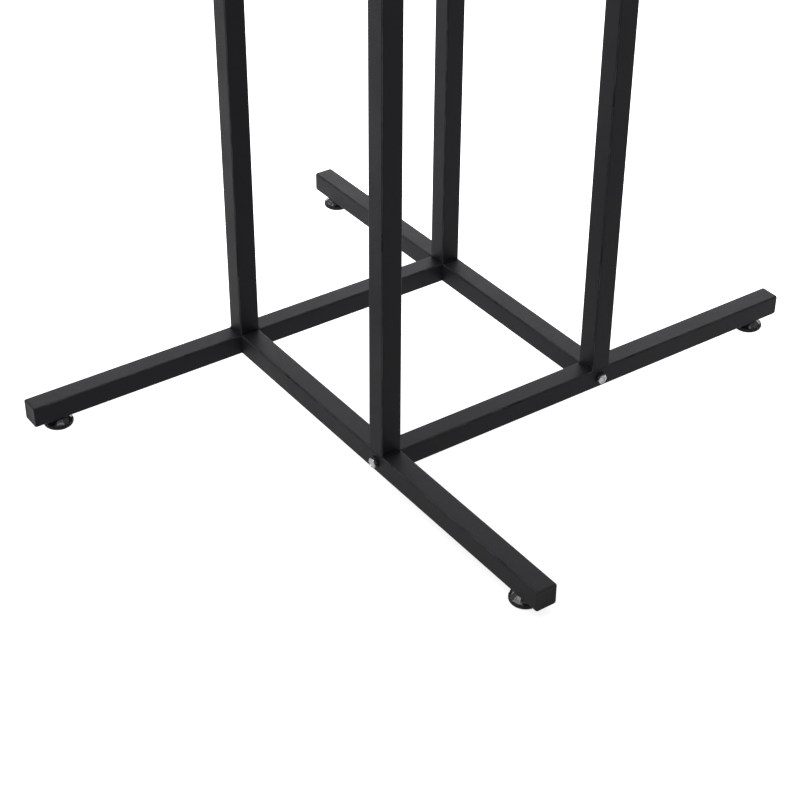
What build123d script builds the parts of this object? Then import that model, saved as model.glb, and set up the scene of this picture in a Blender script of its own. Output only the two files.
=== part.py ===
"""Four way clothing rack: a bolted pinwheel base of square tube, four uprights and four telescoping arms.

Units are millimetres and +Z is up. The origin lies on the floor, midway between the four uprights.
Every piece is drawn for the front corner, and the other three corners are the same piece turned by
quarter turns about the rack's middle: front, right, back, left.
"""
from build123d import *
import os
from math import cos, radians, sin

os.makedirs("parts", exist_ok=True)

CORNERS = ("front", "right", "back", "left")
QUARTER_TURN = 90.0

# Square tube of the base, the uprights, the tie rails and the arms
TUBE = 25.4
TUBE_WALL = 1.5
TUBE_CORNER = 2.0

# Plan of the rack
UPRIGHT_SPACING = 296.3
LEG_REACH = 283.65
FLOOR_GAP = 13.0

# Telescoping posts and hanging arms
ARM_TOP_LOWEST = 1219.2
POST = 19.05
POST_WALL = 1.6
POST_CORNER = 2.0
POST_TRAVEL = 609.6
POST_OVERLAP = 150.0
ARM_REACH = 393.7

# Moulded plugs in the open tube ends
PLUG_FLANGE = 1.6
PLUG_DEPTH = 14.0
PLUG_WALL = 2.2
PLUG_EDGE = 0.6
PLUG_CLEARANCE = 0.1
STEM_CORNER_EXTRA = 0.3
TIP_THICKNESS = 4.0
TIP_STOP_HEIGHT = 11.0
TIP_STOP_CORNER = 6.0

# Bolted base joints
BOLT_RADIUS = 3.175
BOLT_HOLE_CLEARANCE = 0.25
BOLT_ENGAGEMENT = 14.0
HEAD_ACROSS_FLATS = 11.1
HEAD_HEIGHT = 4.2
HEAD_CHAMFER = 0.4
WASHER_RADIUS = 7.0
WASHER_THICKNESS = 1.2
INSERT_DEPTH = 18.0
INSERT_CLEARANCE = 0.1
THREAD_CLEARANCE = 0.05

# Levelling feet
FOOT_INSET = 33.4
FOOT_RADIUS = 17.3
FOOT_RIM = 2.6
FOOT_EDGE = 0.7
FOOT_DOME_SAG = 0.62
FOOT_RIB_ROOT = 2.0
FOOT_DOME_RADIUS = 15.4
FOOT_HUB_RADIUS = 8.6
FOOT_TOP_GAP = 1.6
FOOT_RIBS = 12
FOOT_RIB_THICKNESS = 1.5
FOOT_FLOOR_THICKNESS = 3.6
STUD_RADIUS = 4.0
STUD_TOP_GAP = 2.4
STUD_END_GAP = 0.2
STUD_CHAMFER = 0.5
STUD_HOLE_CLEARANCE = 0.6
FOOT_NUT_ACROSS_FLATS = 13.0
FOOT_NUT_HEIGHT = 6.5

# Top tie frame, guide bushings and clamps
SLEEVE_WALL = 3.0
SLEEVE_CLEARANCE = 0.2
SLEEVE_CORNER = 3.0
SLEEVE_INNER_CORNER = 1.5
SLEEVE_HEIGHT = 50.0
BUSHING_FLANGE = 3.0
BUSHING_SKIRT = 12.0
BUSHING_OUTER_CLEARANCE = 0.1
BUSHING_POST_CLEARANCE = 0.15
SHOE_LENGTH = 16.0
SHOE_PLUG_LENGTH = 10.0
SHOE_CLEARANCE = 0.15
BOSS_RADIUS = 8.5
BOSS_LENGTH = 9.0
BOSS_CHAMFER = 1.2
CLAMP_SCREW_RADIUS = 4.0
CLAMP_HOLE_CLEARANCE = 0.6
CLAMP_TIP_CHAMFER = 0.8
CLAMP_TIP_GAP = 0.3
CLAMP_SCREW_IN_KNOB = 10.0
KNOB_GAP = 1.0
KNOB_RADIUS = 12.5
KNOB_LOBE_RADIUS = 4.6
KNOB_LOBES = 6
KNOB_THICKNESS = 13.0
KNOB_HUB_RADIUS = 8.0
KNOB_HUB_LENGTH = 6.0
KNOB_EDGE = 1.2
KNOB_BORE_END = 0.2

# Weld beads
BEAD = 2.4

# Values worked out from the sizes above
HALF = UPRIGHT_SPACING / 2
TUBE_INNER = TUBE - 2 * TUBE_WALL
TUBE_INNER_CORNER = TUBE_CORNER - TUBE_WALL
STEM_CORNER = TUBE_INNER_CORNER + STEM_CORNER_EXTRA
POST_INNER = POST - 2 * POST_WALL
POST_INNER_CORNER = POST_CORNER - POST_WALL
BASE_MID = FLOOR_GAP + TUBE / 2
BASE_TOP = FLOOR_GAP + TUBE
ARM_BOTTOM = ARM_TOP_LOWEST - TUBE
ARM_MID = ARM_TOP_LOWEST - TUBE / 2
UPRIGHT_TOP = ARM_BOTTOM - BUSHING_FLANGE
LEG_END = -HALF - LEG_REACH
FOOT_HEIGHT = FLOOR_GAP - FOOT_TOP_GAP
STUD_TOP = BASE_TOP - TUBE_WALL - STUD_TOP_GAP
BOLT_HOLE_RADIUS = BOLT_RADIUS + BOLT_HOLE_CLEARANCE
FOOT_HOLE_RADIUS = STUD_RADIUS + STUD_HOLE_CLEARANCE
CLAMP_HOLE_RADIUS = CLAMP_SCREW_RADIUS + CLAMP_HOLE_CLEARANCE
FOOT_Y = LEG_END + FOOT_INSET
SLEEVE_INNER = TUBE + 2 * SLEEVE_CLEARANCE
SLEEVE = SLEEVE_INNER + 2 * SLEEVE_WALL
CLAMP_HEIGHT = UPRIGHT_TOP - SLEEVE_HEIGHT / 2
POST_BOTTOM = UPRIGHT_TOP - POST_TRAVEL - POST_OVERLAP


def along_y(x, y, z):
    """A plane across a tube that runs along +Y, with its sketch's Y axis pointing down."""
    return Plane(origin=(x, y, z), x_dir=(1, 0, 0), z_dir=(0, 1, 0))


def along_x(x, y, z):
    """A plane across a piece that runs along +X, with its sketch's Y axis pointing up."""
    return Plane(origin=(x, y, z), x_dir=(0, 1, 0), z_dir=(1, 0, 0))


def upright_plane(height):
    """The level plane at a height, centred on the front upright."""
    return Plane(origin=(-HALF, -HALF, height))


def tube_profile(width, wall, corner):
    """Section of a square tube with an even wall round its corners."""
    RectangleRounded(width, width, corner)
    inner = width - 2 * wall
    RectangleRounded(inner, inner, corner - wall, mode=Mode.SUBTRACT)


def write(piece, name):
    """Label a finished piece and write it as its own STEP file."""
    piece.part.label = name
    export_step(piece.part, f"parts/{name}.step")


def write_corners(piece, name):
    """Write the piece once for each corner, turned about the middle of the rack."""
    for index, corner in enumerate(CORNERS):
        with BuildPart() as turned:
            add(piece.part, rotation=(0, 0, QUARTER_TURN * index))
        write(turned, f"{name}_{corner}")


def write_group(piece, name):
    """Write the four corners' copies as one group of separate solids."""
    with BuildPart() as group:
        for index in range(len(CORNERS)):
            add(piece.part, rotation=(0, 0, QUARTER_TURN * index))
    write(group, name)


def base_tube():
    """Leg and base rail in one tube, from the leg's end to the face of the next corner's tube."""
    tube_start = LEG_END + PLUG_FLANGE
    tube_end = HALF - TUBE / 2
    with BuildPart() as tube:
        with BuildSketch(along_y(-HALF, tube_start, BASE_MID)):
            tube_profile(TUBE, TUBE_WALL, TUBE_CORNER)
        extrude(amount=tube_end - tube_start)
        with BuildSketch(along_x(-HALF - TUBE, -HALF, BASE_MID)):
            Circle(BOLT_HOLE_RADIUS)
        extrude(amount=2 * TUBE, mode=Mode.SUBTRACT)
        with BuildSketch(Plane(origin=(-HALF, FOOT_Y, FLOOR_GAP - TUBE_WALL))):
            Circle(FOOT_HOLE_RADIUS)
        extrude(amount=3 * TUBE_WALL, mode=Mode.SUBTRACT)
    return tube


def upright():
    """Outer post, welded on top of the base tube where the next base tube butts against it."""
    with BuildPart() as post:
        with BuildSketch(upright_plane(BASE_TOP)):
            tube_profile(TUBE, TUBE_WALL, TUBE_CORNER)
        extrude(amount=UPRIGHT_TOP - BASE_TOP)
        with BuildSketch(along_x(-HALF - TUBE, -HALF, CLAMP_HEIGHT)):
            Circle(CLAMP_HOLE_RADIUS)
        extrude(amount=TUBE, mode=Mode.SUBTRACT)
    return post


def end_plug(flange_plane, depth_sign):
    """Moulded square plug: a flange over the tube's end and a hollow stem inside the tube."""
    stem = TUBE_INNER - 2 * PLUG_CLEARANCE
    hollow = stem - 2 * PLUG_WALL
    with BuildPart() as plug:
        with BuildSketch(flange_plane):
            RectangleRounded(TUBE, TUBE, TUBE_CORNER)
        extrude(amount=-depth_sign * PLUG_FLANGE)
        outer_face = plug.faces().sort_by(Axis.Y)[0 if depth_sign > 0 else -1]
        chamfer(outer_face.edges(), PLUG_EDGE)
        with BuildSketch(flange_plane):
            RectangleRounded(stem, stem, STEM_CORNER)
            Rectangle(hollow, hollow, mode=Mode.SUBTRACT)
        extrude(amount=depth_sign * PLUG_DEPTH)
    return plug


def leg_plug():
    """Plug in the outer end of the leg."""
    return end_plug(along_y(-HALF, LEG_END + PLUG_FLANGE, BASE_MID), 1)


def base_bolt():
    """Hex bolt through the base tube into the end of the next corner's tube."""
    head_seat = -HALF - TUBE / 2 - WASHER_THICKNESS
    shank_end = -HALF + TUBE / 2 + BOLT_ENGAGEMENT
    with BuildPart() as bolt:
        with BuildSketch(along_x(head_seat, -HALF, BASE_MID)):
            RegularPolygon(HEAD_ACROSS_FLATS / 2, 6, major_radius=False)
        extrude(amount=-HEAD_HEIGHT)
        chamfer(bolt.faces().sort_by(Axis.X)[0].edges(), HEAD_CHAMFER)
        with BuildSketch(along_x(head_seat, -HALF, BASE_MID)):
            Circle(BOLT_RADIUS)
        extrude(amount=shank_end - head_seat)
    return bolt


def base_washer():
    """Flat washer under the bolt's head."""
    with BuildPart() as washer:
        with BuildSketch(along_x(-HALF - TUBE / 2, -HALF, BASE_MID)):
            Circle(WASHER_RADIUS)
            Circle(BOLT_HOLE_RADIUS, mode=Mode.SUBTRACT)
        extrude(amount=-WASHER_THICKNESS)
    return washer


def base_insert():
    """Threaded steel block in the inner end of the base tube, which the next corner's bolt grips."""
    block = TUBE_INNER - 2 * INSERT_CLEARANCE
    with BuildPart() as insert:
        with BuildSketch(along_y(-HALF, HALF - TUBE / 2, BASE_MID)):
            RectangleRounded(block, block, STEM_CORNER)
            Circle(BOLT_RADIUS + THREAD_CLEARANCE, mode=Mode.SUBTRACT)
        extrude(amount=-INSERT_DEPTH)
    return insert


def foot_nut():
    """Weld nut on the inside of the leg's lower wall."""
    with BuildPart() as nut:
        with BuildSketch(Plane(origin=(-HALF, FOOT_Y, FLOOR_GAP + TUBE_WALL))):
            RegularPolygon(FOOT_NUT_ACROSS_FLATS / 2, 6, major_radius=False)
            Circle(STUD_RADIUS + THREAD_CLEARANCE, mode=Mode.SUBTRACT)
        extrude(amount=FOOT_NUT_HEIGHT)
    return nut


def foot_stud():
    """Threaded stud of the levelling foot."""
    bottom = FOOT_FLOOR_THICKNESS + STUD_END_GAP
    with BuildPart() as stud:
        with BuildSketch(Plane(origin=(-HALF, FOOT_Y, bottom))):
            Circle(STUD_RADIUS)
        extrude(amount=STUD_TOP - bottom)
        chamfer(stud.edges().filter_by(GeomType.CIRCLE).sort_by(Axis.Z)[-1], STUD_CHAMFER)
    return stud


def foot_base():
    """Moulded bell of the levelling foot: a rim, a dome stiffened by ribs and a hub round the stud."""
    section = Plane(origin=(-HALF, FOOT_Y, 0), x_dir=(1, 0, 0), z_dir=(0, -1, 0))
    dome_middle = (
        FOOT_HUB_RADIUS + FOOT_DOME_SAG * (FOOT_DOME_RADIUS - FOOT_HUB_RADIUS), FOOT_DOME_SAG * FOOT_HEIGHT
    )
    with BuildPart() as base:
        with BuildSketch(section):
            with BuildLine():
                Polyline(
                    (0, 0),
                    (FOOT_RADIUS - FOOT_EDGE, 0),
                    (FOOT_RADIUS, FOOT_EDGE),
                    (FOOT_RADIUS, FOOT_RIM - FOOT_EDGE),
                    (FOOT_RADIUS - FOOT_EDGE, FOOT_RIM),
                    (FOOT_DOME_RADIUS, FOOT_RIM),
                )
                dome = ThreePointArc(
                    (FOOT_DOME_RADIUS, FOOT_RIM), dome_middle, (FOOT_HUB_RADIUS, FOOT_HEIGHT - FOOT_EDGE)
                )
                Polyline(dome @ 1, (FOOT_HUB_RADIUS - FOOT_EDGE, FOOT_HEIGHT), (0, FOOT_HEIGHT), (0, 0))
            make_face()
        revolve(axis=Axis((-HALF, FOOT_Y, 0), (0, 0, 1)))
        for index in range(FOOT_RIBS):
            turn = radians(360.0 * index / FOOT_RIBS)
            rib_plane = Plane(
                origin=(-HALF, FOOT_Y, 0), x_dir=(cos(turn), sin(turn), 0), z_dir=(sin(turn), -cos(turn), 0)
            )
            with BuildSketch(rib_plane):
                with BuildLine():
                    Polyline(
                        (STUD_RADIUS + FOOT_RIB_ROOT, FOOT_RIM / 2),
                        (FOOT_RADIUS - FOOT_EDGE, FOOT_RIM / 2),
                        (FOOT_RADIUS - FOOT_EDGE, FOOT_RIM + FOOT_EDGE),
                        (FOOT_HUB_RADIUS + FOOT_EDGE, FOOT_HEIGHT - FOOT_EDGE),
                        (STUD_RADIUS + FOOT_RIB_ROOT, FOOT_HEIGHT - FOOT_EDGE),
                        close=True,
                    )
                make_face()
            extrude(amount=FOOT_RIB_THICKNESS / 2, both=True)
        with BuildSketch(Plane(origin=(-HALF, FOOT_Y, FOOT_FLOOR_THICKNESS))):
            Circle(STUD_RADIUS + THREAD_CLEARANCE)
        extrude(amount=FOOT_HEIGHT, mode=Mode.SUBTRACT)
    return base


def sleeve():
    """Short square sleeve of the top tie frame, dropped over the upright's end."""
    with BuildPart() as ring:
        with BuildSketch(upright_plane(UPRIGHT_TOP - SLEEVE_HEIGHT)):
            RectangleRounded(SLEEVE, SLEEVE, SLEEVE_CORNER)
            RectangleRounded(SLEEVE_INNER, SLEEVE_INNER, SLEEVE_INNER_CORNER, mode=Mode.SUBTRACT)
        extrude(amount=SLEEVE_HEIGHT)
        with BuildSketch(along_x(-HALF - SLEEVE, -HALF, CLAMP_HEIGHT)):
            Circle(CLAMP_HOLE_RADIUS)
        extrude(amount=SLEEVE, mode=Mode.SUBTRACT)
    return ring


def tie_rail():
    """Rail of the top tie frame, welded between this corner's sleeve and the next one."""
    length = UPRIGHT_SPACING - SLEEVE
    with BuildPart() as rail:
        with BuildSketch(along_x(-length / 2, -HALF, CLAMP_HEIGHT)):
            tube_profile(TUBE, TUBE_WALL, TUBE_CORNER)
        extrude(amount=length)
    return rail


def clamp_boss():
    """Threaded round boss welded on the sleeve's outer face."""
    with BuildPart() as boss:
        with BuildSketch(along_x(-HALF - SLEEVE / 2, -HALF, CLAMP_HEIGHT)):
            Circle(BOSS_RADIUS)
            Circle(CLAMP_SCREW_RADIUS + THREAD_CLEARANCE, mode=Mode.SUBTRACT)
        extrude(amount=-BOSS_LENGTH)
        outer_rims = boss.edges().filter_by(GeomType.CIRCLE).group_by(Axis.X)[0]
        chamfer(outer_rims.sort_by(SortBy.RADIUS)[-1], BOSS_CHAMFER)
    return boss


def clamp_screw():
    """Steel screw of the clamp, from its tip beside the post to its end inside the knob."""
    tip = -HALF - POST / 2 - CLAMP_TIP_GAP
    knob_seat = -HALF - SLEEVE / 2 - BOSS_LENGTH - KNOB_GAP
    end = knob_seat - CLAMP_SCREW_IN_KNOB
    with BuildPart() as screw:
        with BuildSketch(along_x(end, -HALF, CLAMP_HEIGHT)):
            Circle(CLAMP_SCREW_RADIUS)
        extrude(amount=tip - end)
        chamfer(screw.edges().filter_by(GeomType.CIRCLE).sort_by(Axis.X)[-1], CLAMP_TIP_CHAMFER)
    return screw


def clamp_knob():
    """Moulded lobed hand knob on the clamp screw."""
    knob_seat = -HALF - SLEEVE / 2 - BOSS_LENGTH - KNOB_GAP
    grip_face = knob_seat - KNOB_HUB_LENGTH
    with BuildPart() as knob:
        with BuildSketch(along_x(grip_face, -HALF, CLAMP_HEIGHT)):
            Circle(KNOB_RADIUS)
            with PolarLocations(KNOB_RADIUS, KNOB_LOBES):
                Circle(KNOB_LOBE_RADIUS)
        extrude(amount=-KNOB_THICKNESS)
        fillet(knob.faces().sort_by(Axis.X)[0].edges(), KNOB_EDGE)
        with BuildSketch(along_x(knob_seat, -HALF, CLAMP_HEIGHT)):
            Circle(KNOB_HUB_RADIUS)
        extrude(amount=-KNOB_HUB_LENGTH - KNOB_THICKNESS / 2)
        with BuildSketch(along_x(knob_seat, -HALF, CLAMP_HEIGHT)):
            Circle(CLAMP_SCREW_RADIUS + THREAD_CLEARANCE)
        extrude(amount=-CLAMP_SCREW_IN_KNOB - KNOB_BORE_END, mode=Mode.SUBTRACT)
    return knob


def bushing():
    """Moulded guide between the upright and the post, with a flange over the sleeve's top."""
    skirt = TUBE_INNER - 2 * BUSHING_OUTER_CLEARANCE
    opening = POST + 2 * BUSHING_POST_CLEARANCE
    with BuildPart() as guide:
        with BuildSketch(upright_plane(UPRIGHT_TOP)):
            RectangleRounded(SLEEVE, SLEEVE, SLEEVE_CORNER)
        extrude(amount=BUSHING_FLANGE)
        chamfer(guide.faces().sort_by(Axis.Z)[-1].edges(), PLUG_EDGE)
        with BuildSketch(upright_plane(UPRIGHT_TOP)):
            RectangleRounded(skirt, skirt, STEM_CORNER)
        extrude(amount=-BUSHING_SKIRT)
        with BuildSketch(upright_plane(UPRIGHT_TOP - BUSHING_SKIRT)):
            RectangleRounded(opening, opening, POST_CORNER)
        extrude(amount=BUSHING_SKIRT + BUSHING_FLANGE, mode=Mode.SUBTRACT)
    return guide


def inner_post():
    """Telescoping post, welded under its arm."""
    with BuildPart() as post:
        with BuildSketch(upright_plane(POST_BOTTOM)):
            tube_profile(POST, POST_WALL, POST_CORNER)
        extrude(amount=ARM_BOTTOM - POST_BOTTOM)
    return post


def post_shoe():
    """Moulded shoe on the post's lower end, which guides it inside the upright."""
    guide = TUBE_INNER - 2 * SHOE_CLEARANCE
    stem = POST_INNER - 2 * PLUG_CLEARANCE
    with BuildPart() as shoe:
        with BuildSketch(upright_plane(POST_BOTTOM)):
            RectangleRounded(guide, guide, STEM_CORNER)
        extrude(amount=-SHOE_LENGTH)
        with BuildSketch(upright_plane(POST_BOTTOM)):
            RectangleRounded(stem, stem, POST_INNER_CORNER + STEM_CORNER_EXTRA)
        extrude(amount=SHOE_PLUG_LENGTH)
    return shoe


def arm():
    """Straight hanging arm, level, over its post and out above the leg."""
    start = -HALF - ARM_REACH + TIP_THICKNESS
    end = -HALF + TUBE / 2
    with BuildPart() as bar:
        with BuildSketch(along_y(-HALF, start, ARM_MID)):
            tube_profile(TUBE, TUBE_WALL, TUBE_CORNER)
        extrude(amount=end - start)
    return bar


def arm_plug():
    """Plug in the arm's inner end."""
    return end_plug(along_y(-HALF, -HALF + TUBE / 2, ARM_MID), -1)


def arm_tip():
    """Plug in the arm's outer end, with a raised stop that keeps hangers on the arm."""
    seat = -HALF - ARM_REACH + TIP_THICKNESS
    stem = TUBE_INNER - 2 * PLUG_CLEARANCE
    hollow = stem - 2 * PLUG_WALL
    outward = Plane(origin=(-HALF, seat, ARM_MID), x_dir=(1, 0, 0), z_dir=(0, -1, 0))
    with BuildPart() as tip:
        with BuildSketch(outward):
            RectangleRounded(TUBE, TUBE, TUBE_CORNER)
            with Locations((0, TIP_STOP_HEIGHT)):
                RectangleRounded(TUBE, TUBE, TIP_STOP_CORNER)
        extrude(amount=TIP_THICKNESS)
        chamfer(tip.faces().sort_by(Axis.Y)[0].edges(), PLUG_EDGE)
        with BuildSketch(outward):
            RectangleRounded(stem, stem, STEM_CORNER)
            Rectangle(hollow, hollow, mode=Mode.SUBTRACT)
        extrude(amount=-PLUG_DEPTH)
    return tip


def bead_section(middle, away, up, length):
    """Section of a fillet weld in the corner at middle, spread away from one face and up from the other."""
    along = Vector(away).cross(Vector(up))
    start = Vector(middle) - along * (length / 2)
    with BuildSketch(Plane(origin=start, x_dir=away, z_dir=along)) as section:
        with BuildLine():
            Polyline((0, BEAD), (0, 0), (BEAD, 0))
            RadiusArc((BEAD, 0), (0, BEAD), -BEAD)
        make_face()
    return section.sketch


def weld_beads():
    """Fillet welds at the upright's foot and at both ends of a tie rail."""
    flat = TUBE - 2 * TUBE_CORNER
    rail_end = (UPRIGHT_SPACING - SLEEVE) / 2
    with BuildPart() as beads:
        for side in (-1, 1):
            foot_corner = (-HALF, -HALF + side * TUBE / 2, BASE_TOP)
            extrude(bead_section(foot_corner, (0, side, 0), (0, 0, 1), flat), amount=flat)
            for rise in (-1, 1):
                rail_corner = (side * rail_end, -HALF, CLAMP_HEIGHT + rise * TUBE / 2)
                extrude(bead_section(rail_corner, (-side, 0, 0), (0, 0, rise), flat), amount=flat)
    return beads


write_corners(base_tube(), "base_tube")
write_corners(upright(), "upright")
write_corners(leg_plug(), "leg_plug")
write_corners(foot_stud(), "foot_stud")
write_corners(foot_base(), "foot_base")
write_corners(sleeve(), "sleeve")
write_corners(inner_post(), "inner_post")
write_corners(post_shoe(), "post_shoe")
write_corners(arm(), "arm")
write_corners(arm_tip(), "arm_tip")
write_corners(arm_plug(), "arm_plug")
write_corners(clamp_screw(), "clamp_screw")
write_corners(clamp_knob(), "clamp_knob")
write_group(tie_rail(), "tie_rails")
write_group(bushing(), "bushings")
write_group(clamp_boss(), "clamp_bosses")
write_group(base_bolt(), "base_bolts")
write_group(base_washer(), "base_washers")
write_group(base_insert(), "base_inserts")
write_group(foot_nut(), "foot_nuts")
write_group(weld_beads(), "weld_beads")
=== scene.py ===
import math

import bmesh
import bpy
from mathutils import Matrix, Vector


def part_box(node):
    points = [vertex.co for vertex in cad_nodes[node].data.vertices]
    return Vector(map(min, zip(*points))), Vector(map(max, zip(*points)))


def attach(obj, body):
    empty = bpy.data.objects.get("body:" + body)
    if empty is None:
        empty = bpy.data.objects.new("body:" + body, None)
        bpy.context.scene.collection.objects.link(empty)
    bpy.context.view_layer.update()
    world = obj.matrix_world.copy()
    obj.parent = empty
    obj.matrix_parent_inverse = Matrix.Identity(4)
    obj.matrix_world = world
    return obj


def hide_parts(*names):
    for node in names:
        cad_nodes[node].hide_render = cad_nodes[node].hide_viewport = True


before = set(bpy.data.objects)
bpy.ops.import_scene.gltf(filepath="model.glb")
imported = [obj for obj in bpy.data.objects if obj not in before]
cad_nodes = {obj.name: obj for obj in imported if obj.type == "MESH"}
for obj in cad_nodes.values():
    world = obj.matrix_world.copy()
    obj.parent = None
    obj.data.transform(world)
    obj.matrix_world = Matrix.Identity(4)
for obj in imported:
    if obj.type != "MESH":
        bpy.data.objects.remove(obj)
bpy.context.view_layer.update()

# Base tubes
# Four square steel tubes, each a leg and a base rail in one, which meet as a pinwheel. Each is
# drilled and sprayed with satin black powder, which is rubbed and here and there bruised at edges.
corners = ("front", "right", "back", "left")


def surface_group(name, inputs):
    tree = bpy.data.node_groups.new(name, "ShaderNodeTree")
    for socket, kind, value in inputs:
        tree.interface.new_socket(socket, in_out="INPUT", socket_type=kind).default_value = value
    tree.interface.new_socket("Colour", in_out="OUTPUT", socket_type="NodeSocketColor")
    tree.interface.new_socket("Roughness", in_out="OUTPUT", socket_type="NodeSocketFloat")
    tree.interface.new_socket("Height", in_out="OUTPUT", socket_type="NodeSocketFloat")
    return tree, tree.nodes.new("NodeGroupInput"), tree.nodes.new("NodeGroupOutput")


def feed(tree, socket, value):
    if isinstance(value, bpy.types.NodeSocket):
        tree.links.new(value, socket)
    else:
        socket.default_value = value


def noise(tree, spot, scale, detail, roughness=0.5):
    node = tree.nodes.new("ShaderNodeTexNoise")
    feed(tree, node.inputs["Vector"], spot)
    feed(tree, node.inputs["Scale"], scale)
    node.inputs["Detail"].default_value = detail
    node.inputs["Roughness"].default_value = roughness
    return node.outputs["Fac"]


def spread(tree, value, low, high):
    node = tree.nodes.new("ShaderNodeMapRange")
    node.interpolation_type = "SMOOTHSTEP"
    node.inputs["From Min"].default_value = low
    node.inputs["From Max"].default_value = high
    feed(tree, node.inputs["Value"], value)
    return node.outputs["Result"]


def maths(tree, operation, first, second=0.0):
    node = tree.nodes.new("ShaderNodeMath")
    node.operation = operation
    feed(tree, node.inputs[0], first)
    feed(tree, node.inputs[1], second)
    return node.outputs["Value"]


def blend_colours(tree, amount, first, second):
    node = tree.nodes.new("ShaderNodeMix")
    node.data_type = "RGBA"
    feed(tree, node.inputs["Factor"], amount)
    feed(tree, node.inputs[6], first)
    feed(tree, node.inputs[7], second)
    return node.outputs[2]


def coated_surface():
    patch_scale = 42.0
    knock_scale = 23.0
    cloud_scale = 15.0
    least_rubbing = 0.3
    haze_strength = 0.05
    cloud_roughness = 0.08
    worn_polish = 0.10
    bruise_roughness = 0.25
    grain_height = 0.4
    bruise_depth = 1.5
    tree, given, result = surface_group(
        "coated_surface",
        (
            ("Colour", "NodeSocketColor", (0.01, 0.01, 0.01, 1)),
            ("Worn Colour", "NodeSocketColor", (0.04, 0.04, 0.04, 1)),
            ("Bruise Colour", "NodeSocketColor", (0.001, 0.001, 0.001, 1)),
            ("Wear", "NodeSocketFloat", 0.5),
            ("Bruises", "NodeSocketFloat", 0.5),
            ("Roughness", "NodeSocketFloat", 0.5),
            ("Peel Scale", "NodeSocketFloat", 900.0),
            ("Grain Scale", "NodeSocketFloat", 3600.0),
        ),
    )
    colour, worn_colour = given.outputs["Colour"], given.outputs["Worn Colour"]
    place = tree.nodes.new("ShaderNodeTexCoord")
    spot = place.outputs["Object"]
    facing = tree.nodes.new("ShaderNodeSeparateXYZ")
    feed(tree, facing.inputs["Vector"], place.outputs["Normal"])

    # The corners of a tube are where its surface faces no axis squarely.
    squareness = maths(tree, "ABSOLUTE", facing.outputs["X"])
    for axis in ("Y", "Z"):
        sideways = maths(tree, "ABSOLUTE", facing.outputs[axis])
        squareness = maths(tree, "MAXIMUM", squareness, sideways)
    edge = maths(tree, "SUBTRACT", 1.0, spread(tree, squareness, 0.76, 0.985))

    patches = spread(tree, noise(tree, spot, patch_scale, 4.0), 0.40, 0.66)
    patches = maths(tree, "MULTIPLY", patches, 1 - least_rubbing)
    rubbed = maths(tree, "MULTIPLY", edge, maths(tree, "ADD", patches, least_rubbing))
    worn = maths(tree, "MULTIPLY", rubbed, given.outputs["Wear"])
    knocks = spread(tree, noise(tree, spot, knock_scale, 6.0, 0.62), 0.59, 0.64)
    knocks = maths(tree, "MULTIPLY", edge, knocks)
    bruise = maths(tree, "MULTIPLY", knocks, given.outputs["Bruises"])

    cloud = spread(tree, noise(tree, spot, cloud_scale, 5.0, 0.6), 0.3, 0.7)
    dust = maths(tree, "MULTIPLY", spread(tree, facing.outputs["Z"], 0.5, 1.0), cloud)
    haze = maths(tree, "MULTIPLY", maths(tree, "ADD", cloud, dust), haze_strength)
    shade = blend_colours(tree, haze, colour, worn_colour)
    shade = blend_colours(tree, worn, shade, worn_colour)
    shade = blend_colours(tree, bruise, shade, given.outputs["Bruise Colour"])
    feed(tree, result.inputs["Colour"], shade)

    uneven = maths(tree, "MULTIPLY", maths(tree, "SUBTRACT", cloud, 0.5), cloud_roughness)
    roughness = maths(tree, "ADD", given.outputs["Roughness"], uneven)
    polished = maths(tree, "MULTIPLY", worn, worn_polish)
    roughness = maths(tree, "SUBTRACT", roughness, polished)
    scuffed = maths(tree, "MULTIPLY", bruise, bruise_roughness)
    feed(tree, result.inputs["Roughness"], maths(tree, "ADD", roughness, scuffed))

    peel = noise(tree, spot, given.outputs["Peel Scale"], 2.0, 0.45)
    grain = noise(tree, spot, given.outputs["Grain Scale"], 1.0)
    grain = maths(tree, "MULTIPLY", grain, grain_height)
    dents = maths(tree, "MULTIPLY", bruise, bruise_depth)
    height = maths(tree, "SUBTRACT", maths(tree, "ADD", peel, grain), dents)
    feed(tree, result.inputs["Height"], height)
    return tree


coated = coated_surface()


def finish_material(name, surface, settings, shader_settings, bump, bump_depth):
    material = bpy.data.materials.new(name)
    material.use_nodes = True
    tree = material.node_tree
    shader = tree.nodes["Principled BSDF"]
    for socket, value in shader_settings.items():
        shader.inputs[socket].default_value = value
    group = tree.nodes.new("ShaderNodeGroup")
    group.node_tree = surface
    for socket, value in settings.items():
        group.inputs[socket].default_value = value
    bumps = tree.nodes.new("ShaderNodeBump")
    bumps.inputs["Strength"].default_value = bump
    bumps.inputs["Distance"].default_value = bump_depth
    feed(tree, bumps.inputs["Height"], group.outputs["Height"])
    feed(tree, shader.inputs["Normal"], bumps.outputs["Normal"])
    feed(tree, shader.inputs["Base Color"], group.outputs["Colour"])
    feed(tree, shader.inputs["Roughness"], group.outputs["Roughness"])
    return material


def finish(nodes, material):
    for node in nodes:
        mesh = cad_nodes[node].data
        mesh.materials.clear()
        mesh.materials.append(material)


def at_corners(piece):
    return [f"{piece}_{corner}" for corner in corners]


powder_coat = finish_material(
    "black_powder_coat",
    coated,
    {
        "Colour": (0.0052, 0.0052, 0.0060, 1),
        "Worn Colour": (0.036, 0.036, 0.039, 1),
        "Wear": 0.7,
        "Bruises": 0.9,
        "Roughness": 0.53,
        "Peel Scale": 700.0,
    },
    {"Metallic": 0.0, "Specular IOR Level": 0.085, "Specular Tint": (0.94, 0.94, 1.0, 1)},
    bump=0.2,
    bump_depth=0.0006,
)
finish(at_corners("base_tube"), powder_coat)


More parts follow.
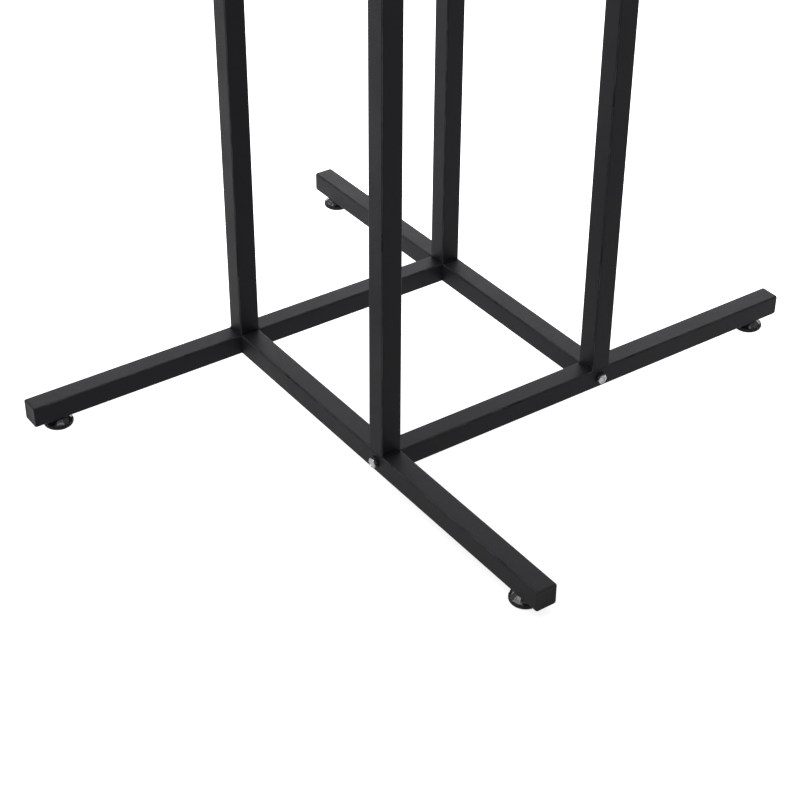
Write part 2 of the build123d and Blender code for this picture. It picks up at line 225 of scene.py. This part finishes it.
# Weld nuts and threaded inserts
# Steel pieces shut inside the tubes: a nut over each foot's hole, and a tapped block that each
# corner's bolt grips. They are bright zinc over steel, a pale and faintly cloudy metal.
def plated_surface():
    grain_scale = 2600.0
    cloud_roughness = 0.16
    tree, given, result = surface_group(
        "plated_surface",
        (
            ("Colour", "NodeSocketColor", (0.7, 0.7, 0.7, 1)),
            ("Cloud Colour", "NodeSocketColor", (0.5, 0.5, 0.5, 1)),
            ("Roughness", "NodeSocketFloat", 0.3),
            ("Cloud Scale", "NodeSocketFloat", 420.0),
        ),
    )
    spot = tree.nodes.new("ShaderNodeTexCoord").outputs["Object"]
    cloud = noise(tree, spot, given.outputs["Cloud Scale"], 4.0, 0.6)
    cloud = spread(tree, cloud, 0.36, 0.66)
    shade = blend_colours(tree, cloud, given.outputs["Colour"], given.outputs["Cloud Colour"])
    feed(tree, result.inputs["Colour"], shade)
    dull = maths(tree, "MULTIPLY", cloud, cloud_roughness)
    feed(tree, result.inputs["Roughness"], maths(tree, "ADD", given.outputs["Roughness"], dull))
    feed(tree, result.inputs["Height"], noise(tree, spot, grain_scale, 3.0, 0.65))
    return tree


zinc = finish_material(
    "zinc_steel",
    plated_surface(),
    {"Colour": (0.40, 0.40, 0.41, 1), "Cloud Colour": (0.21, 0.21, 0.22, 1), "Roughness": 0.26},
    {"Metallic": 1.0},
    bump=0.25,
    bump_depth=0.0003,
)
finish(("foot_nuts", "base_inserts"), zinc)

# Uprights
# The same square tube stood on end, over the corner where two base tubes meet.
# Each is welded to its base tube before the coat goes on.
finish(at_corners("upright"), powder_coat)

# Tie frame
# A square ring that joins the uprights' tops: four short sleeves, four rails between them,
# and a turned, tapped boss on each sleeve for its clamp. It is welded and coated in one piece.
finish(at_corners("sleeve"), powder_coat)
finish(("tie_rails", "clamp_bosses"), powder_coat)

# Welds
# Each seam is a run of overlapping puddles laid by hand, so the bead is rippled along its length.
# Runs close the upright's foot, both ends of each rail, and the ring where a boss meets its sleeve.
bead_radius = 0.0012
bead_offset = 0.0004
ripple_pitch = 0.0019
ripple_depth = 0.13
corner_inset = 0.0021
steps_per_ripple = 6.0
bead_sides = 14


def pattern_tree(name, extra_inputs):
    tree = bpy.data.node_groups.new(name, "GeometryNodeTree")
    tree.interface.new_socket("Piece", in_out="INPUT", socket_type="NodeSocketGeometry")
    for socket, kind in extra_inputs:
        tree.interface.new_socket(socket, in_out="INPUT", socket_type=kind)
    tree.interface.new_socket("Finish", in_out="INPUT", socket_type="NodeSocketMaterial")
    tree.interface.new_socket("Pieces", in_out="OUTPUT", socket_type="NodeSocketGeometry")
    given, result = tree.nodes.new("NodeGroupInput"), tree.nodes.new("NodeGroupOutput")
    solid = tree.nodes.new("GeometryNodeRealizeInstances")
    coat = tree.nodes.new("GeometryNodeSetMaterial")
    feed(tree, coat.inputs["Geometry"], solid.outputs["Geometry"])
    feed(tree, coat.inputs["Material"], given.outputs["Finish"])
    feed(tree, result.inputs["Pieces"], coat.outputs["Geometry"])
    return tree, given, solid.inputs["Geometry"]


def bead_pattern():
    sizes = [(size, "NodeSocketFloat") for size in ("Radius", "Ripple Pitch", "Ripple Depth")]
    tree, given, finished = pattern_tree("weld_bead", sizes)
    seam = tree.nodes.new("GeometryNodeMeshToCurve")
    feed(tree, seam.inputs["Mesh"], given.outputs["Piece"])
    steps = tree.nodes.new("GeometryNodeResampleCurve")
    steps.mode = "LENGTH"
    step_length = maths(tree, "DIVIDE", given.outputs["Ripple Pitch"], steps_per_ripple)
    feed(tree, steps.inputs["Curve"], seam.outputs["Curve"])
    feed(tree, steps.inputs["Length"], step_length)
    along = tree.nodes.new("GeometryNodeSplineParameter")
    turns = maths(tree, "DIVIDE", along.outputs["Length"], given.outputs["Ripple Pitch"])
    wave = maths(tree, "ABSOLUTE", maths(tree, "SINE", maths(tree, "MULTIPLY", turns, math.pi)))
    ripple = maths(tree, "MULTIPLY", wave, given.outputs["Ripple Depth"])
    swell = maths(tree, "ADD", 1.0, ripple)
    sized = tree.nodes.new("GeometryNodeSetCurveRadius")
    feed(tree, sized.inputs["Curve"], steps.outputs["Curve"])
    feed(tree, sized.inputs["Radius"], maths(tree, "MULTIPLY", swell, given.outputs["Radius"]))
    ring = tree.nodes.new("GeometryNodeCurvePrimitiveCircle")
    ring.inputs["Resolution"].default_value = bead_sides
    ring.inputs["Radius"].default_value = 1.0
    radius = tree.nodes.new("GeometryNodeInputRadius")
    bead = tree.nodes.new("GeometryNodeCurveToMesh")
    bead.inputs["Fill Caps"].default_value = True
    feed(tree, bead.inputs["Curve"], sized.outputs["Curve"])
    feed(tree, bead.inputs["Profile Curve"], ring.outputs["Curve"])
    feed(tree, bead.inputs["Scale"], radius.outputs["Radius"])
    feed(tree, finished, bead.outputs["Mesh"])
    return tree


def corner_pattern():
    counts = [(count, "NodeSocketInt") for count in ("First Corner", "Corners")]
    tree, given, finished = pattern_tree("corner_pattern", counts)
    spots = tree.nodes.new("GeometryNodeMeshLine")
    spots.inputs["Offset"].default_value = (0, 0, 0)
    feed(tree, spots.inputs["Count"], given.outputs["Corners"])
    index = tree.nodes.new("GeometryNodeInputIndex")
    number = maths(tree, "ADD", index.outputs["Index"], given.outputs["First Corner"])
    quarter_turn = math.radians(360 / len(corners))
    angles = tree.nodes.new("ShaderNodeCombineXYZ")
    feed(tree, angles.inputs["Z"], maths(tree, "MULTIPLY", number, quarter_turn))
    copies = tree.nodes.new("GeometryNodeInstanceOnPoints")
    feed(tree, copies.inputs["Points"], spots.outputs["Mesh"])
    feed(tree, copies.inputs["Instance"], given.outputs["Piece"])
    feed(tree, copies.inputs["Rotation"], angles.outputs["Vector"])
    feed(tree, finished, copies.outputs["Instances"])
    return tree


def grown(name, mesh, tree, settings):
    source = bpy.data.objects.new(name + "_source", mesh)
    bpy.context.scene.collection.objects.link(source)
    modifier = source.modifiers.new(tree.name, "NODES")
    modifier.node_group = tree
    for item in tree.interface.items_tree:
        if item.in_out == "INPUT" and item.name in settings:
            modifier[item.identifier] = settings[item.name]
    bpy.context.view_layer.update()
    evaluated = source.evaluated_get(bpy.context.evaluated_depsgraph_get())
    final = bpy.data.meshes.new_from_object(evaluated)
    source.modifiers.clear()
    bpy.data.objects.remove(source)
    final.name = name
    return final


def placed(name, mesh, smooth_angle, body, node):
    mesh.polygons.foreach_set("use_smooth", [True] * len(mesh.polygons))
    mesh.set_sharp_from_angle(angle=math.radians(smooth_angle))
    piece = bpy.data.objects.new(name, mesh)
    bpy.context.scene.collection.objects.link(piece)
    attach(piece, body)
    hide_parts(node)


patterned = corner_pattern()


def in_a_group(name, mesh, material, node, smooth_angle=32):
    settings = {"First Corner": 0, "Corners": len(corners), "Finish": material}
    ring_of_four = grown(name, mesh, patterned, settings)
    placed(name, ring_of_four, smooth_angle, "frame", node)


def seam_lines(runs):
    mesh = bpy.data.meshes.new("weld_seams")
    points, edges = [], []
    for run, closed in runs:
        first = len(points)
        points += run
        edges += [(first + step, first + step + 1) for step in range(len(run) - 1)]
        if closed:
            edges.append((len(points) - 1, first))
    mesh.from_pydata(points, edges, [])
    return mesh


upright_low, upright_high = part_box("upright_front")
upright_axis = (upright_low + upright_high) / 2
tube_half = (upright_high.x - upright_low.x) / 2
rails_low, rails_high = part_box("tie_rails")
rail_height = (rails_low.z + rails_high.z) / 2
sleeve_low, sleeve_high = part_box("sleeve_front")
boss_low, boss_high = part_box("clamp_bosses")
boss_radius = (boss_high.z - boss_low.z) / 2
seam_reach = tube_half - corner_inset
bead_out = tube_half + bead_offset
weld_runs = []
for side in (-1, 1):
    foot_y = upright_axis.y + side * bead_out
    foot_z = upright_low.z + bead_offset
    run = [(upright_axis.x + step * seam_reach, foot_y, foot_z) for step in (-1, 1)]
    weld_runs.append((run, False))
for end_x, away in ((sleeve_high.x, 1), (-sleeve_high.x, -1)):
    for rise in (-1, 1):
        seam_x = end_x + away * bead_offset
        seam_z = rail_height + rise * bead_out
        run = [(seam_x, upright_axis.y + step * seam_reach, seam_z) for step in (-1, 1)]
        weld_runs.append((run, False))
ring_steps = 40
ring_reach = boss_radius + bead_offset
boss_ring = []
for step in range(ring_steps):
    turn = 2 * math.pi * step / ring_steps
    ring_y = upright_axis.y + ring_reach * math.cos(turn)
    ring_z = rail_height + ring_reach * math.sin(turn)
    boss_ring.append((sleeve_low.x - bead_offset, ring_y, ring_z))
weld_runs.append((boss_ring, True))
# The coat on the welds is the tubes' powder coat painted darker, as painted shade in the creases
# where the beads lie. It is also rougher and has no wear or bruises.
bead_coat_with_painted_shade = finish_material(
    "weld_coat_painted_darker_as_shade",
    coated,
    {
        "Colour": (0.0035, 0.0035, 0.0040, 1),
        "Wear": 0.0,
        "Bruises": 0.0,
        "Roughness": 0.62,
        "Peel Scale": 900.0,
    },
    {"Metallic": 0.0, "Specular IOR Level": 0.06},
    bump=0.2,
    bump_depth=0.0006,
)
bead_settings = {
    "Radius": bead_radius,
    "Ripple Pitch": ripple_pitch,
    "Ripple Depth": ripple_depth,
    "Finish": bead_coat_with_painted_shade,
}
bead_mesh = grown("weld_run", seam_lines(weld_runs), bead_pattern(), bead_settings)
in_a_group("weld_run", bead_mesh, bead_coat_with_painted_shade, "weld_beads", smooth_angle=50)


# Levelling feet
# Moulded nylon cups, each screwed up to its leg on a threaded stud. The matt rim is fluted for
# the fingers, with a turned-in lip on the floor, and the glossy scalloped top slopes up to a hub.
def carried_round(name, section, steps, place, direction, hollow=False):
    mesh = bpy.data.meshes.new(name)
    shape = bmesh.new()
    heading = Vector(direction).to_track_quat("Z", "Y").to_matrix().to_4x4()
    stand = Matrix.Translation(place) @ heading
    columns = []
    for step in range(steps):
        turn = 2 * math.pi * step / steps
        spoke = Vector((math.cos(turn), math.sin(turn), 0))
        points = [spoke * reach + Vector((0, 0, rise)) for reach, rise in section(turn)]
        columns.append([shape.verts.new(stand @ point) for point in points])
    rows = len(columns[0])
    for step in range(steps):
        here, there = columns[step], columns[(step + 1) % steps]
        for row in range(rows if hollow else rows - 1):
            following = (row + 1) % rows
            shape.faces.new((here[row], there[row], there[following], here[following]))
    if not hollow:
        for row in (0, rows - 1):
            hub = shape.verts.new(stand @ Vector((0, 0, section(0.0)[row][1])))
            for step in range(steps):
                shape.faces.new((columns[step][row], columns[(step + 1) % steps][row], hub))
    bmesh.ops.recalc_face_normals(shape, faces=shape.faces)
    shape.to_mesh(mesh)
    shape.free()
    return mesh


def one_each(name, mesh, material, bodies, node, smooth_angle=32):
    for index, corner in enumerate(corners):
        settings = {"First Corner": index, "Corners": 1, "Finish": material}
        piece = f"{name}_{corner}"
        turned = grown(piece, mesh, patterned, settings)
        placed(piece, turned, smooth_angle, bodies[index], f"{node}_{corner}")


foot_plastic = finish_material(
    "black_foot_plastic",
    coated,
    {
        "Colour": (0.0030, 0.0030, 0.0030, 1),
        "Worn Colour": (0.014, 0.013, 0.012, 1),
        "Wear": 0.4,
        "Bruises": 0.0,
        "Roughness": 0.40,
        "Peel Scale": 1500.0,
    },
    {"Metallic": 0.0, "Specular IOR Level": 0.10, "Coat Roughness": 0.24},
    bump=0.12,
    bump_depth=0.0003,
)
foot_gloss_start = 0.0061
gloss = bpy.data.node_groups.new("gloss_above_rim", "ShaderNodeTree")
gloss.interface.new_socket("Rim Top", in_out="INPUT", socket_type="NodeSocketFloat")
gloss.interface.new_socket("Gloss", in_out="OUTPUT", socket_type="NodeSocketFloat")
gloss_given, gloss_result = gloss.nodes.new("NodeGroupInput"), gloss.nodes.new("NodeGroupOutput")
gloss_spot = gloss.nodes.new("ShaderNodeSeparateXYZ")
feed(gloss, gloss_spot.inputs["Vector"], gloss.nodes.new("ShaderNodeTexCoord").outputs["Object"])
above_rim = maths(gloss, "GREATER_THAN", gloss_spot.outputs["Z"], gloss_given.outputs["Rim Top"])
feed(gloss, gloss_result.inputs["Gloss"], above_rim)
foot_tree = foot_plastic.node_tree
foot_gloss = foot_tree.nodes.new("ShaderNodeGroup")
foot_gloss.node_tree = gloss
foot_gloss.inputs["Rim Top"].default_value = foot_gloss_start
foot_shader = foot_tree.nodes["Principled BSDF"]
feed(foot_tree, foot_shader.inputs["Coat Weight"], foot_gloss.outputs["Gloss"])
foot_low, foot_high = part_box("foot_base_front")
stud_low, stud_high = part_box("foot_stud_front")
foot_radius = (foot_high.x - foot_low.x) / 2
foot_tall = foot_high.z - foot_low.z
foot_flutes = 16
foot_steps_per_flute = 15
flute_depth = 0.0007
scallops = 12
scallop_depth = 0.0009
stud_radius = (stud_high.x - stud_low.x) / 2
foot_axis = (stud_low + stud_high) / 2
bore_clearance = 0.00005
bore_end_gap = 0.0001
bore_bevel = 0.0004


def foot_section(turn):
    wall = foot_radius - flute_depth * (0.5 - 0.5 * math.cos(foot_flutes * turn)) ** 2
    scallop = scallop_depth * abs(math.sin(scallops / 2 * turn))
    bore = stud_radius + bore_clearance
    lip = [
        (foot_radius - 0.0030, 0.0),
        (foot_radius - 0.0017, 0.0002),
        (foot_radius - 0.0007, 0.0011),
        (foot_radius - 0.0002, 0.0020),
        (foot_radius, 0.0026),
    ]
    rim = [
        (wall, 0.0030),
        (wall - 0.0001, 0.0050),
        (wall - 0.0004, 0.0058),
        (wall - 0.0010, 0.0062),
    ]
    dome = [
        (foot_radius - 0.0020 - scallop * 0.3, 0.0064),
        (foot_radius - 0.0030 - scallop, 0.0072),
        (foot_radius - 0.0046 - scallop, 0.0090),
        (foot_radius - 0.0062 - scallop * 0.6, 0.0103),
        (foot_radius - 0.0070 - scallop * 0.3, foot_tall - 0.0004),
    ]
    hub = [
        (foot_radius - 0.0078, foot_tall - 0.0001),
        (foot_radius - 0.0086, foot_tall),
        (bore + bore_bevel, foot_tall),
        (bore, foot_tall - bore_bevel),
        (bore, stud_low.z - bore_end_gap),
    ]
    return lip + rim + dome + hub


foot_place = (foot_axis.x, foot_axis.y, 0)
foot_steps = foot_flutes * foot_steps_per_flute
foot_mesh = carried_round("levelling_foot", foot_section, foot_steps, foot_place, (0, 0, 1))
foot_bodies = at_corners("foot_base")
one_each("levelling_foot", foot_mesh, foot_plastic, foot_bodies, "foot_base")

# Studs of the levelling feet
# Cold rolled M8 studs, zinc plated, screwed into the nuts inside the legs.
# The thread's crest is the stud's full radius, and its root is cut below that.
thread_pitch = 0.00125
thread_depth = 0.0006
thread_rows_per_turn = 6
thread_steepness = 2.4
thread_taper = 0.0006
thread_steps = 36
thread_smooth_angle = 80


def threaded(turn, start, end, radius):
    rows = []
    for row in range(int((end - start) / thread_pitch * thread_rows_per_turn) + 1):
        rise = start + row * thread_pitch / thread_rows_per_turn
        phase = (rise / thread_pitch - turn / (2 * math.pi)) % 1
        cut = min(1.0, thread_steepness * min(phase, 1 - phase))
        rows.append((radius - thread_depth * cut, rise))
    return rows


def stud_section(turn):
    length = stud_high.z - stud_low.z
    thread = threaded(turn, thread_taper, length - thread_taper, stud_radius)
    end_reach = stud_radius - thread_depth - thread_taper
    return [(end_reach, 0.0), *thread, (end_reach, length)]


stud_place = (foot_axis.x, foot_axis.y, stud_low.z)
stud_mesh = carried_round("threaded_stud", stud_section, thread_steps, stud_place, (0, 0, 1))
stud_bodies = at_corners("foot_stud")
one_each(
    "threaded_stud", stud_mesh, zinc, stud_bodies, "foot_stud", thread_smooth_angle
)

# Leg plugs
# Matt black polythene plugs, moulded with a stem and driven into the legs' open ends. A flange as
# wide as the tube closes the end, with a rounded rim and a face sunk a little in cooling.
end_plastic = finish_material(
    "black_end_plug",
    coated,
    {
        "Colour": (0.0080, 0.0076, 0.0073, 1),
        "Worn Colour": (0.030, 0.029, 0.027, 1),
        "Wear": 0.6,
        "Bruises": 0.2,
        "Roughness": 0.58,
        "Peel Scale": 1100.0,
    },
    {"Metallic": 0.0, "Specular IOR Level": 0.10},
    bump=0.25,
    bump_depth=0.0004,
)
plug_low, plug_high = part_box("leg_plug_front")
leg_low, leg_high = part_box("base_tube_front")
flange = leg_low.y - plug_low.y
plug_length = plug_high.y - plug_low.y
plug_steps = 96
plug_corner = 0.0026
stem_inset = 0.0016
stem_corner = 0.0010
stem_lead = 0.0020
plug_smooth_angle = 40


def rounded_square(turn, half, corner):
    across, along = abs(math.cos(turn)), abs(math.sin(turn))
    reach = half / max(across, along)
    straight = half - corner
    if reach * min(across, along) <= straight:
        return reach
    middle = straight * (across + along)
    return middle + math.sqrt(corner**2 - 2 * straight**2 + middle**2)


def plug_section(turn):
    outer = rounded_square(turn, tube_half, plug_corner)
    stem = rounded_square(turn, tube_half - stem_inset, stem_corner)
    inside = [
        (stem - 0.0012, flange - plug_length),
        (stem, flange - plug_length + stem_lead),
        (stem, -0.00005),
    ]
    rim = [
        (outer - 0.0004, 0.0),
        (outer, 0.0003),
        (outer, flange - 0.0009),
        (outer - 0.0002, flange - 0.0004),
        (outer - 0.0006, flange - 0.0001),
        (outer - 0.0011, flange),
    ]
    sunk_face = [
        (outer * 0.80, flange - 0.00005),
        (outer * 0.70, flange - 0.00025),
        (outer * 0.35, flange - 0.00035),
    ]
    return inside + rim + sunk_face


base_axis_z = (leg_low.z + leg_high.z) / 2
leg_end = (upright_axis.x, leg_low.y, base_axis_z)
plug_mesh = carried_round("leg_end_plug", plug_section, plug_steps, leg_end, (0, -1, 0))
plug_bodies = ["frame"] * len(corners)
one_each(
    "leg_end_plug",
    plug_mesh,
    end_plastic,
    plug_bodies,
    "leg_plug",
    plug_smooth_angle,
)

# Base bolts
# Zinc plated quarter-inch hex bolts, one through each base tube into the end of the next. The
# head has a chamfered crown and a faint dish, and sits on a black washer on the tube's outer face.
washer_finish = finish_material(
    "black_washer",
    coated,
    {
        "Colour": (0.0030, 0.0030, 0.0030, 1),
        "Worn Colour": (0.03, 0.03, 0.03, 1),
        "Wear": 0.35,
        "Bruises": 0.0,
        "Roughness": 0.45,
        "Peel Scale": 1600.0,
    },
    {"Metallic": 0.0, "Specular IOR Level": 0.10},
    bump=0.2,
    bump_depth=0.0002,
)
bolts_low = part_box("base_bolts")[0]
washers_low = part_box("base_washers")[0]
washer_thick = leg_low.x - washers_low.x
washer_radius = 0.0070
washer_clearance = 0.00025
washer_edge = 0.0003
washer_steps = 64
head_tall = washers_low.x - bolts_low.x
head_apothem = 0.00555
head_steps = 96
crown_share = 0.93
dish_depth = 0.0004
bolt_radius = 0.003175
bolt_grip = 0.0140
bolt_length = leg_high.x - washers_low.x + bolt_grip
bolt_unthreaded = 0.0050


def hexagon(turn, apothem):
    return apothem / math.cos(turn % math.radians(60) - math.radians(30))


def bolt_section(turn):
    side = hexagon(turn, head_apothem)
    crown = head_apothem * crown_share
    shoulder = head_tall - (side - crown) * math.tan(math.radians(30))
    thread = threaded(turn, thread_taper - bolt_length, -bolt_unthreaded, bolt_radius)
    shank = [
        (bolt_radius - thread_depth - thread_taper, -bolt_length),
        *thread,
        (bolt_radius, 0.0004 - bolt_unthreaded),
        (bolt_radius, 0.0),
    ]
    head = [
        (head_apothem * 0.96, 0.0),
        (side - 0.0002, 0.0003),
        (side, 0.0006),
        (side, shoulder - 0.0003),
        (side - 0.0003, shoulder),
        (crown, head_tall - 0.0001),
        (crown - 0.0004, head_tall),
        (head_apothem * 0.66, head_tall),
        (head_apothem * 0.56, head_tall - dish_depth),
    ]
    return shank + head


def washer_section(turn):
    inner = bolt_radius + washer_clearance
    return [
        (inner, washer_edge),
        (inner + washer_edge, 0.0),
        (washer_radius - washer_edge, 0.0),
        (washer_radius, washer_edge),
        (washer_radius, washer_thick - washer_edge),
        (washer_radius - washer_edge, washer_thick),
        (inner + washer_edge, washer_thick),
        (inner, washer_thick - washer_edge),
    ]


outwards = (-1, 0, 0)
head_seat = (washers_low.x, upright_axis.y, base_axis_z)
washer_seat = (leg_low.x, upright_axis.y, base_axis_z)
bolt_mesh = carried_round("hex_bolt", bolt_section, head_steps, head_seat, outwards)
in_a_group("hex_bolt", bolt_mesh, zinc, "base_bolts")
washer_mesh = carried_round(
    "flat_washer", washer_section, washer_steps, washer_seat, outwards, hollow=True
)
in_a_group("flat_washer", washer_mesh, washer_finish, "base_washers")

# Guide bushings
# Moulded square guides pressed into the uprights' tops, with a flange over the sleeve,
# which keep the posts from rattling and from scraping their coat.
finish(("bushings",), end_plastic)

# Posts and hanging arms
# A smaller square tube slides in each upright and carries an arm of the large tube, welded level
# on its top. The post has a moulded shoe on its lower end, inside the upright.
finish(at_corners("inner_post"), powder_coat)
finish(at_corners("arm"), powder_coat)
finish(at_corners("post_shoe"), end_plastic)

# Arm ends
# The arm's inner end has a plug like the legs'. The outer end has a taller moulded cap,
# whose raised edge stops hangers from sliding off.
arm_low, arm_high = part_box("arm_front")
arm_inner_end = (upright_axis.x, arm_high.y, (arm_low.z + arm_high.z) / 2)
arm_plug_mesh = carried_round("arm_end_plug", plug_section, plug_steps, arm_inner_end, (0, 1, 0))
arm_bodies = at_corners("hanging_arm")
one_each(
    "arm_end_plug",
    arm_plug_mesh,
    end_plastic,
    arm_bodies,
    "arm_plug",
    plug_smooth_angle,
)
finish(at_corners("arm_tip"), end_plastic)

# Clamp screws
# Zinc plated M8 screws through the bosses, whose turned-down tips bear on the posts.
# Each is moulded into its knob, and only the thread between knob and boss can be seen.
screw_low, screw_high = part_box("clamp_screw_front")
screw_radius = (screw_high.z - screw_low.z) / 2
screw_length = screw_high.x - screw_low.x
tip_length = 0.0016
tip_bevel = 0.0004
thread_runout = 0.0004


def screw_section(turn):
    thread_end = screw_length - tip_length - thread_runout
    thread = threaded(turn, thread_taper, thread_end, screw_radius)
    end_reach = screw_radius - thread_depth - thread_taper
    return [
        (end_reach, 0.0),
        *thread,
        (end_reach, screw_length - tip_length),
        (end_reach, screw_length - tip_bevel),
        (end_reach - tip_bevel, screw_length),
    ]


screw_place = (screw_low.x, upright_axis.y, rail_height)
screw_mesh = carried_round("clamp_thread", screw_section, thread_steps, screw_place, (1, 0, 0))
screw_bodies = at_corners("clamp_screw")
one_each(
    "clamp_thread", screw_mesh, zinc, screw_bodies, "clamp_screw", thread_smooth_angle
)

# Clamp knobs
# Moulded hand knobs of matt black nylon, with six rounded lobes, a round hub towards the boss
# and a flat pressed-in cap on the face.
knob_plastic = finish_material(
    "black_knob_plastic",
    coated,
    {
        "Colour": (0.0065, 0.0065, 0.0065, 1),
        "Worn Colour": (0.020, 0.020, 0.019, 1),
        "Wear": 0.6,
        "Bruises": 0.0,
        "Roughness": 0.46,
        "Peel Scale": 1500.0,
    },
    {"Metallic": 0.0, "Specular IOR Level": 0.22},
    bump=0.15,
    bump_depth=0.0003,
)
knob_low, knob_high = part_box("clamp_knob_front")
knob_reach = (knob_high.y - knob_low.y) / 2
knob_length = knob_high.x - knob_low.x
knob_waist = 0.0124
knob_lobes = 6
knob_steps_per_lobe = 20
lobe_fullness = 0.8
hub_radius = 0.0080
hub_length = 0.0060
cap_radius = 0.0060
screw_in_knob = knob_high.x - screw_low.x


def knob_section(turn):
    lobe = (0.5 + 0.5 * math.cos(knob_lobes * turn)) ** lobe_fullness
    grip = knob_waist + (knob_reach - knob_waist) * lobe
    bore = screw_radius + bore_clearance
    hub = [
        (bore, screw_in_knob + bore_end_gap),
        (bore, bore_bevel),
        (bore + bore_bevel, 0.0),
        (hub_radius - 0.0008, 0.0),
        (hub_radius - 0.0002, 0.0002),
        (hub_radius, 0.0008),
        (hub_radius, hub_length - 0.0012),
        (hub_radius + 0.0004, hub_length - 0.0004),
        (hub_radius + 0.0012, hub_length),
    ]
    lobed_side = [
        (grip - 0.0022, hub_length + 0.0002),
        (grip - 0.0009, hub_length + 0.0007),
        (grip - 0.0002, hub_length + 0.0017),
        (grip, hub_length + 0.0030),
        (grip, knob_length - 0.0042),
        (grip - 0.0003, knob_length - 0.0026),
        (grip - 0.0011, knob_length - 0.0013),
        (grip - 0.0024, knob_length - 0.0005),
    ]
    face = [
        (grip * 0.70, knob_length - 0.0001),
        (cap_radius + 0.0006, knob_length),
        (cap_radius + 0.0002, knob_length - 0.0001),
        (cap_radius, knob_length - 0.0005),
        (cap_radius - 0.0003, knob_length - 0.0006),
    ]
    return hub + lobed_side + face


knob_place = (knob_high.x, upright_axis.y, rail_height)
knob_steps = knob_lobes * knob_steps_per_lobe
knob_mesh = carried_round("hand_knob", knob_section, knob_steps, knob_place, outwards)
knob_bodies = at_corners("clamp_knob")
one_each("hand_knob", knob_mesh, knob_plastic, knob_bodies, "clamp_knob")

# Floor
# A wide sheet of opal acrylic that glows by itself: painted light, stronger towards the back,
# which washes out the rack's shadow so that only the faintest shadow of the rack lies on it.
floor_reach = 40.0
floor_mesh = bpy.data.meshes.new("studio_floor")
square = ((-1, -1), (1, -1), (1, 1), (-1, 1))
floor_corners = [(x * floor_reach, y * floor_reach, 0) for x, y in square]
floor_mesh.from_pydata(floor_corners, [], [(0, 1, 2, 3)])
floor = bpy.data.objects.new("studio_floor", floor_mesh)
bpy.context.scene.collection.objects.link(floor)
glowing_floor_finish = bpy.data.materials.new("studio_floor")
glowing_floor_finish.use_nodes = True
floor_tree = glowing_floor_finish.node_tree
floor_shader = floor_tree.nodes["Principled BSDF"]
floor_shader.inputs["Base Color"].default_value = (0.22, 0.22, 0.22, 1)
floor_shader.inputs["Roughness"].default_value = 0.9
floor_shader.inputs["Specular IOR Level"].default_value = 0.1
# The floor's emission is painted light: a glow, brighter towards the back, that hides the rack's
# shadow.
floor_shader.inputs["Emission Strength"].default_value = 1.0
near_glow = (0.80, 0.80, 0.80, 1)
far_glow = (1.85, 1.85, 1.85, 1)
glow_starts = -0.35
glow_ends = 0.50
backwards = (0.576, 0.817, 0)
distance_back = floor_tree.nodes.new("ShaderNodeVectorMath")
distance_back.operation = "DOT_PRODUCT"
distance_back.inputs[1].default_value = backwards
floor_spot = floor_tree.nodes.new("ShaderNodeTexCoord").outputs["Object"]
feed(floor_tree, distance_back.inputs[0], floor_spot)
glow = spread(floor_tree, distance_back.outputs["Value"], glow_starts, glow_ends)
glow_colour = blend_colours(floor_tree, glow, near_glow, far_glow)
feed(floor_tree, floor_shader.inputs["Emission Color"], glow_colour)
floor_mesh.materials.append(glowing_floor_finish)


# Lights
# A large soft panel overhead, a weaker one from the left, and a long one behind, whose
# reflection lifts the tubes' top faces. White walls all round fill the rest.
def panel(name, place, aim, size, power, colour=(1, 1, 1)):
    light = bpy.data.lights.new(name, "AREA")
    light.shape = "RECTANGLE"
    light.size, light.size_y = size
    light.energy = power
    light.color = colour
    lamp = bpy.data.objects.new(name, light)
    heading = (Vector(aim) - Vector(place)).to_track_quat("-Z", "Y").to_matrix().to_4x4()
    lamp.matrix_world = Matrix.Translation(place) @ heading
    bpy.context.scene.collection.objects.link(lamp)


panel("overhead", (-0.6, 0.2, 4.2), (0, 0, 0), (5.0, 5.0), 230)
panel("left", (-4.2, 1.0, 2.4), (0, 0, 0.4), (2.5, 2.5), 100)
panel("behind", (3.3, 4.0, 1.9), (0, 0, 0.2), (7.5, 2.0), 290, (0.94, 0.95, 1.0))
world = bpy.data.worlds.new("studio_walls")
world.use_nodes = True
walls = world.node_tree.nodes["Background"]
walls.inputs["Color"].default_value = (1, 1, 1, 1)
walls.inputs["Strength"].default_value = 0.50
bpy.context.scene.world = world
bpy.context.scene.view_settings.view_transform = "Standard"

# Camera
# It stands beyond the front leg and looks down on the base from a little to its left,
# so that the uprights run out of the top of the view.
camera_place = Vector((-1.0781, -1.4955, 1.2415))
camera_heading = math.radians(35.176)
camera_dip = math.radians(34.817)
camera_roll = math.radians(0.419)
level = Vector((math.sin(camera_heading), math.cos(camera_heading), 0))
forward = level * math.cos(camera_dip) + Vector((0, 0, -math.sin(camera_dip)))
level_right = Vector((level.y, -level.x, 0))
level_up = level_right.cross(forward)
right = level_right * math.cos(camera_roll) + level_up * math.sin(camera_roll)
up = right.cross(forward)
camera_turn = Matrix((right, up, -forward)).transposed().to_4x4()
camera = bpy.data.objects.new("camera", bpy.data.cameras.new("camera"))
camera.data.sensor_width = 36
camera.data.lens = 83.65
camera.matrix_world = Matrix.Translation(camera_place) @ camera_turn
bpy.context.scene.collection.objects.link(camera)
bpy.context.scene.camera = camera
